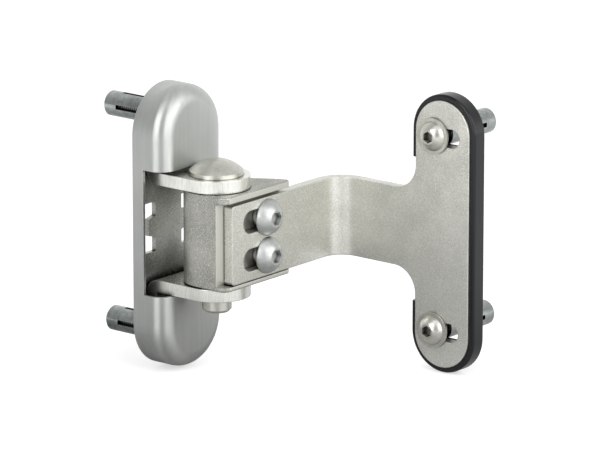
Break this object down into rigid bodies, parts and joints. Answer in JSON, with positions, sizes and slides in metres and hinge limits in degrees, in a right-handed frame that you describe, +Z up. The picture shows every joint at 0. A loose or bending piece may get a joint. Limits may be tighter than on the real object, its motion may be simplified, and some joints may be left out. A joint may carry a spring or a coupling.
{
  "type": "gate hinge",
  "caption": "Adjustable gate hinge: a covered post plate carries a pin, a cast knuckle swings on it and clamps a slotted, folded arm with a padded gate head.",
  "frame": {"origin": "middle of the post side's back face, which lies on the post", "axes": "+Y into the post, -Y off it, +X along the arm towards the gate with the gate opened half a turn, +Z up along the hinge pin"},
  "size_m": [0.1328, 0.1629, 0.1374],
  "materials": {
    "cover_steel": "satin drawn stainless sheet",
    "plate_steel": "rolled stainless sheet",
    "bracket_steel": "cut and folded stainless plate",
    "pin_steel": "turned stainless",
    "cast_steel": "blasted cast stainless",
    "bush_nylon": "black nylon",
    "arm_steel": "fine-grained stainless plate",
    "pad_plastic": "black moulded plastic",
    "screw_steel": "bright stainless screw",
    "sleeve_zinc": "bright zinc-plated steel"
  },
  "bodies": {
    "post_side": {"post_cover": "cover_steel", "base_plate": "plate_steel", "ear_bracket_top": "bracket_steel", "ear_bracket_bottom": "bracket_steel", "hinge_pin": "pin_steel", "post_screw_top": "screw_steel", "post_screw_bottom": "screw_steel", "post_sleeve_top": "sleeve_zinc", "post_sleeve_bottom": "sleeve_zinc"},
    "knuckle_side": {"knuckle": "cast_steel", "pin_bush_top": "bush_nylon", "pin_bush_bottom": "bush_nylon", "clamp_screw_upper": "screw_steel", "clamp_screw_lower": "screw_steel"},
    "gate_side": {"gate_arm": "arm_steel", "gate_pad": "pad_plastic"},
    "gate_fixings": {"gate_screw_upper": "screw_steel", "gate_screw_lower": "screw_steel", "gate_sleeve_upper": "sleeve_zinc", "gate_sleeve_lower": "sleeve_zinc"}
  },
  "joints": [
    {"name": "hinge_pivot", "type": "hinge", "parent": "post_side", "child": "knuckle_side", "pos_m": [0, -0.032, 0], "axis": [0, 0, 1], "range_deg": [-180, 0]},
    {"name": "arm_slide", "type": "slide", "parent": "knuckle_side", "child": "gate_side", "axis": [1, 0, 0], "range_m": [0, 0.012]},
    {"name": "fixing_slide", "type": "slide", "parent": "gate_side", "child": "gate_fixings", "axis": [0, -1, 0], "range_m": [0, 0.01]}
  ]
}
